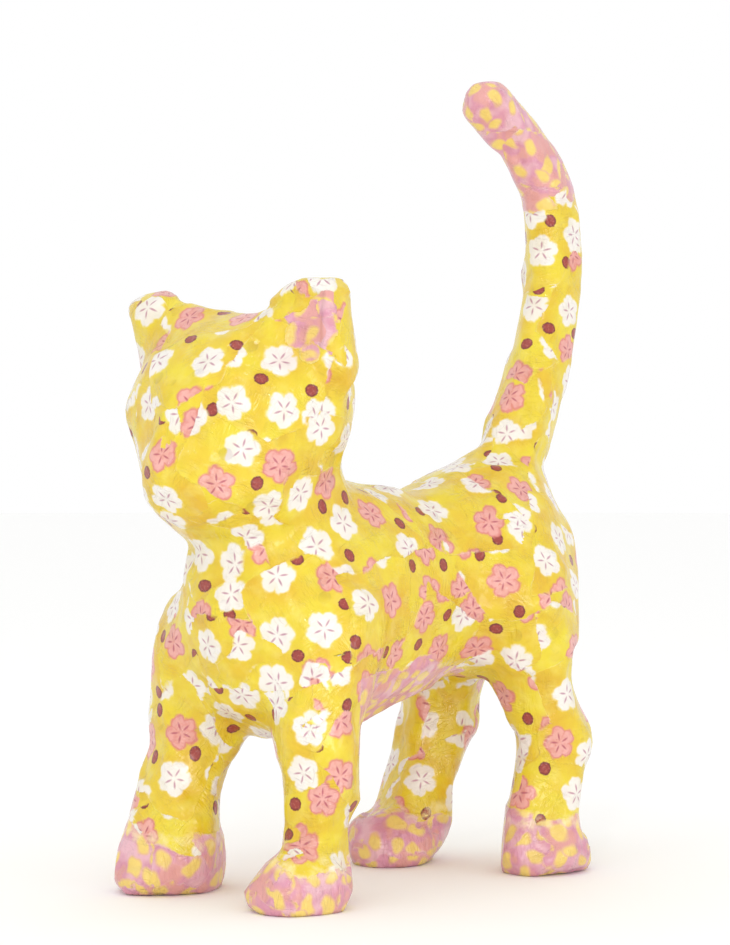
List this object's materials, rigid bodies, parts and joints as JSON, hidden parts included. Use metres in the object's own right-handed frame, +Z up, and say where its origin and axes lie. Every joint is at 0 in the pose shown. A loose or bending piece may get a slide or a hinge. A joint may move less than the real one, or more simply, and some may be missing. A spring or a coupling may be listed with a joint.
{
  "type": "papier-mache cat",
  "caption": "Papier-mache cat ornament in mid-stride with its tail raised in a curve, moulded whole, covered with varnished scraps of flowered paper and standing on its paws.",
  "frame": {"origin": "on the ground under the middle of the bounding box", "axes": "+X to the cat's left, -Y the way the cat faces, +Z up"},
  "size_m": [0.0928, 0.1964, 0.2792],
  "materials": {
    "varnished_paper": "printed tissue paper in torn overlapping scraps, under a clear gloss varnish"
  },
  "bodies": {
    "root": {"cat": "varnished_paper"}
  },
  "joints": []
}
